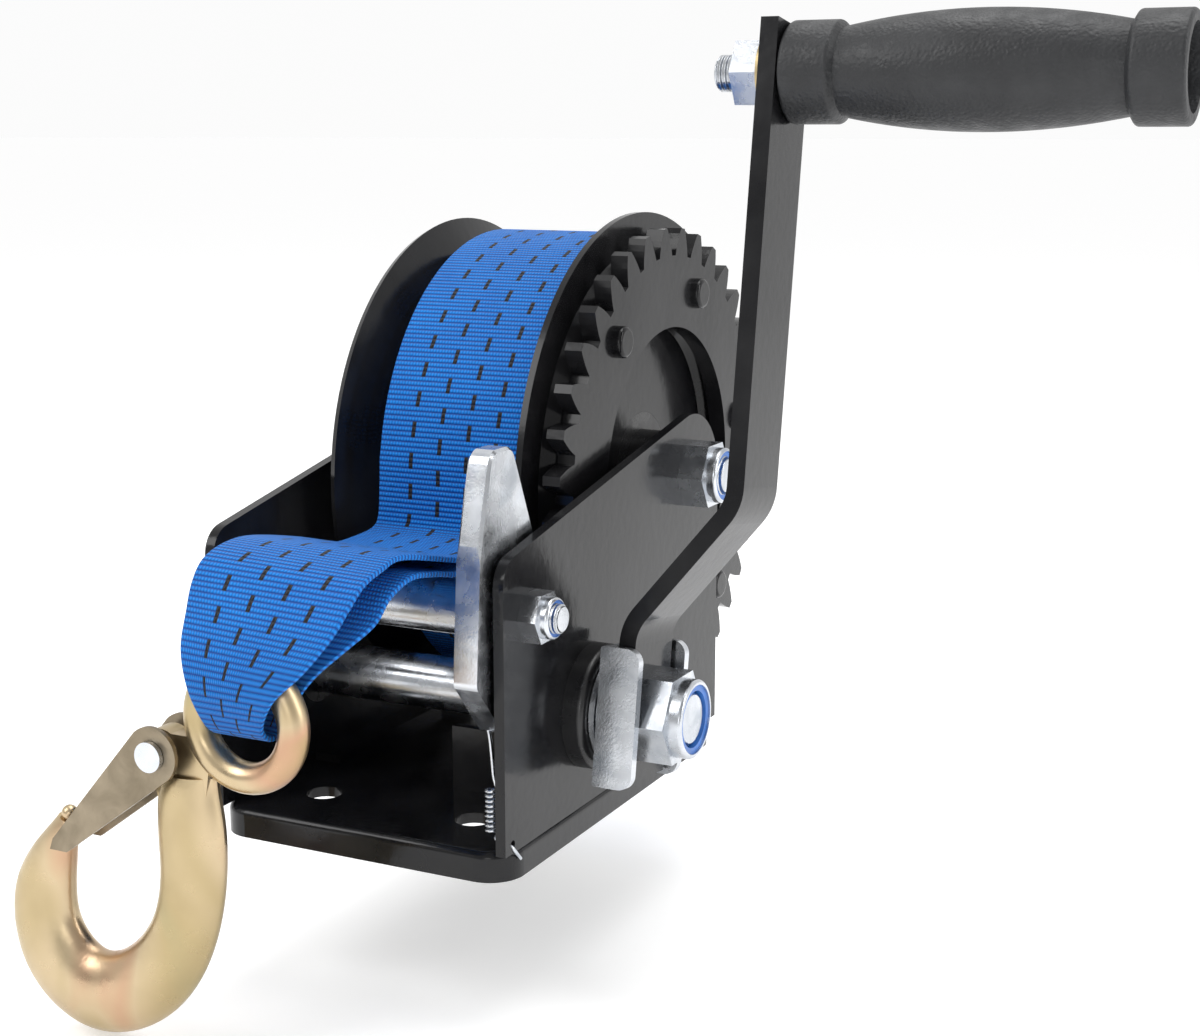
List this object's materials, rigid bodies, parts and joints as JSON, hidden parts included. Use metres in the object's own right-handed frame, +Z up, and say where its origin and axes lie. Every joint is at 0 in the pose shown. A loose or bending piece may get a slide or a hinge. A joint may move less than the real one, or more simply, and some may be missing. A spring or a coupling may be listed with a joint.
{
  "type": "hand winch",
  "caption": "Hand-cranked strap winch: folded steel frame, geared drum with webbing, pawl lever, crank with turning grip, and a snap hook.",
  "frame": {"origin": "centre of the four base holes, on the underside of the base plate", "axes": "+X towards the crank side, -Y to the front where the strap leaves, +Z up, square to the base plate"},
  "size_m": [0.2798, 0.2564, 0.2698],
  "materials": {
    "bright_zinc": "zinc plate",
    "nylon_insert": "nylon",
    "crank_paint": "gloss black powder coat",
    "bush_plastic": "black moulded",
    "black_paint": "gloss black powder coat",
    "grip_plastic": "charcoal, fine grain",
    "yellow_zinc": "yellow zinc plate",
    "strap_fabric": "woven polyester"
  },
  "bodies": {
    "frame": {"axle_bolt": "bright_zinc", "axle_nut": "bright_zinc", "axle_nut_insert": "nylon_insert", "axle_sleeve": "bright_zinc", "drive_bushes": "bush_plastic", "frame": "black_paint", "pawl_spring": "bright_zinc", "strap_end": "strap_fabric", "tie_bolt": "bright_zinc", "tie_nut": "bright_zinc", "tie_nut_insert": "nylon_insert", "tie_spacers": "bright_zinc"},
    "drum": {"drum_core": "bright_zinc", "drum_flange_left": "black_paint", "drum_flange_right": "black_paint", "ring_gear": "black_paint", "gear_rivets": "black_paint", "drum_bushes": "bush_plastic", "strap_pin": "bright_zinc", "wound_strap": "strap_fabric"},
    "drive": {"drive_shaft": "bright_zinc", "shaft_clip": "bright_zinc", "drive_pinion": "bright_zinc", "thrust_washers": "bright_zinc", "crank_bracket": "bright_zinc", "crank_arm": "crank_paint", "crank_nut": "bright_zinc", "crank_nut_insert": "nylon_insert", "grip_bolt": "bright_zinc", "grip_nut": "bright_zinc", "grip_washer": "yellow_zinc"},
    "pawl": {"pawl": "bright_zinc"},
    "roller": {"strap_roller": "bright_zinc"},
    "grip": {"grip": "grip_plastic"},
    "hook": {"hook": "yellow_zinc", "latch_rivet": "bright_zinc", "latch_spring": "bright_zinc"},
    "latch": {"latch": "bright_zinc"}
  },
  "joints": [
    {"name": "drum_spin", "type": "hinge", "parent": "frame", "child": "drum", "pos_m": [0, 0.049, 0.0877], "axis": [1, 0, 0], "continuous": true},
    {"name": "drive_spin", "type": "hinge", "parent": "frame", "child": "drive", "pos_m": [0, -0.0215, 0.03176], "axis": [1, 0, 0], "continuous": true},
    {"name": "grip_spin", "type": "hinge", "parent": "drive", "child": "grip", "pos_m": [0, 0.00634, 0.20757], "axis": [1, 0, 0], "continuous": true},
    {"name": "roller_spin", "type": "hinge", "parent": "frame", "child": "roller", "pos_m": [0, -0.0575, 0.0662], "axis": [1, 0, 0], "continuous": true},
    {"name": "pawl_tilt", "type": "hinge", "parent": "frame", "child": "pawl", "pos_m": [0, -0.0575, 0.0662], "axis": [1, 0, 0], "range_deg": [0, 14]},
    {"name": "hook_swing", "type": "hinge", "parent": "frame", "child": "hook", "pos_m": [-0.0004, -0.1185, 0.0614], "axis": [1, 0, 0], "range_deg": [-8, 8]},
    {"name": "latch_open", "type": "hinge", "parent": "hook", "child": "latch", "pos_m": [-0.025, -0.1185, 0.0369], "axis": [0, -1, 0], "range_deg": [0, 28]}
  ],
  "couplings": [
    {"joint": "drive_spin", "follows": "drum_spin", "ratio": -4}
  ]
}
